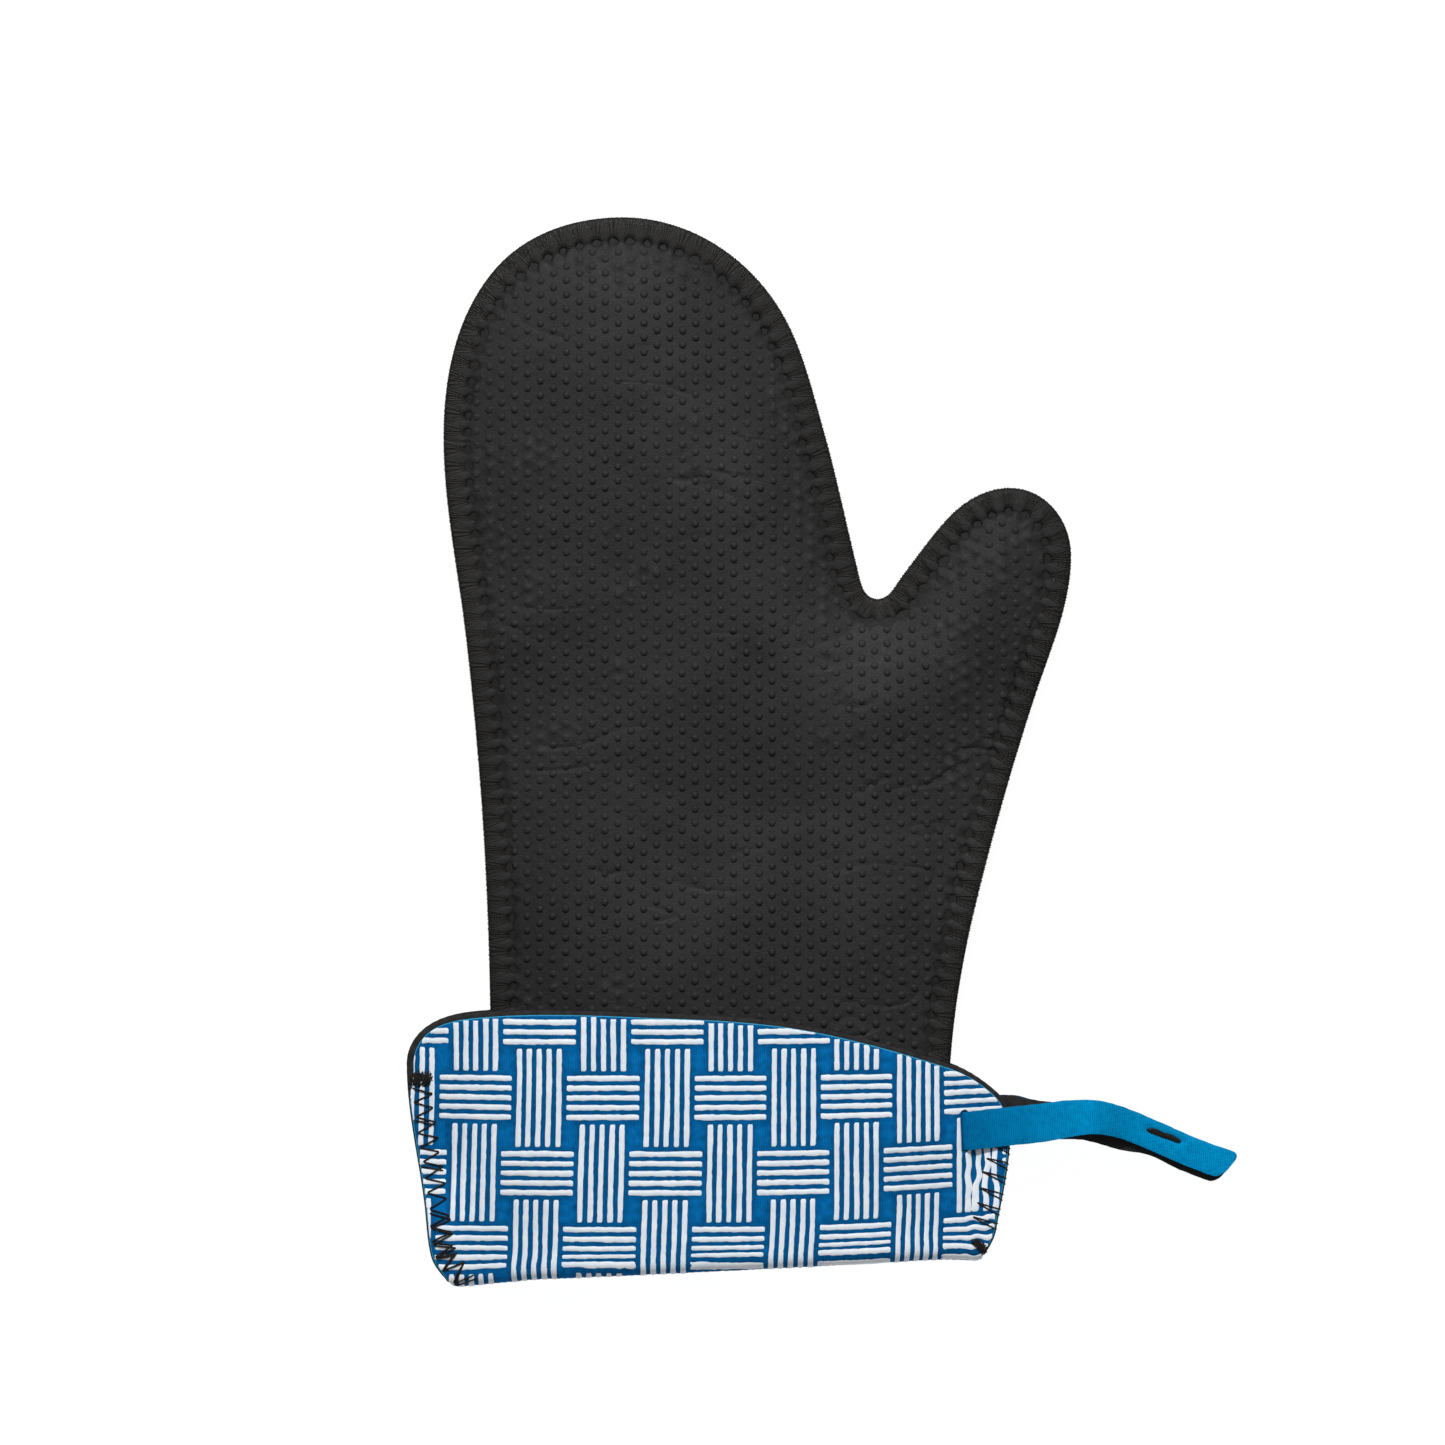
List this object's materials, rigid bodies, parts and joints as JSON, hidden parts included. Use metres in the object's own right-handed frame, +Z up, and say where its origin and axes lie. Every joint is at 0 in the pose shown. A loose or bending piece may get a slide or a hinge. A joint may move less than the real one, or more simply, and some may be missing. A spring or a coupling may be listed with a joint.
{
  "type": "oven mitt",
  "caption": "Long neoprene oven mitt with dotted rubber grip faces, an over-edge sewn rim, a turned-up cuff with a woven-block print, and a hanging loop threaded through the cuff.",
  "frame": {"origin": "middle of the mitt's plan outline, hanging loop included, on the surface it lies on", "axes": "+X towards the thumb and the loop, +Y towards the fingertips, +Z up out of the palm face"},
  "size_m": [0.2984, 0.3844, 0.0305],
  "materials": {
    "dotted_rubber": "matt moulded rubber with raised dots",
    "neoprene_foam": "matt closed-cell foam, as seen on cut edges",
    "printed_jersey": "matt knitted jersey with a white block print",
    "black_thread": "twisted polyester thread, slight sheen",
    "loop_jersey": "matt knitted jersey"
  },
  "bodies": {
    "mitt": {"palm_rubber_skin": "dotted_rubber", "palm_foam": "neoprene_foam", "palm_lining": "printed_jersey", "back_rubber_skin": "dotted_rubber", "back_foam": "neoprene_foam", "back_lining": "printed_jersey", "perimeter_seam_thread": "black_thread", "cuff_zigzag_left": "black_thread", "cuff_zigzag_right": "black_thread", "bartack_left": "black_thread", "bartack_right": "black_thread", "loop_root_foam": "neoprene_foam", "loop_root_face": "loop_jersey"},
    "hanging_loop": {"loop_front_foam": "neoprene_foam", "loop_front_face": "loop_jersey", "loop_back_foam": "neoprene_foam", "loop_back_face": "loop_jersey", "loop_bartack": "black_thread"}
  },
  "joints": [
    {"name": "hanging_loop_swing", "type": "hinge", "parent": "mitt", "child": "hanging_loop", "pos_m": [0.076, -0.1343, 0.0156], "axis": [0, -1, 0], "range_deg": [-75, 90]}
  ]
}
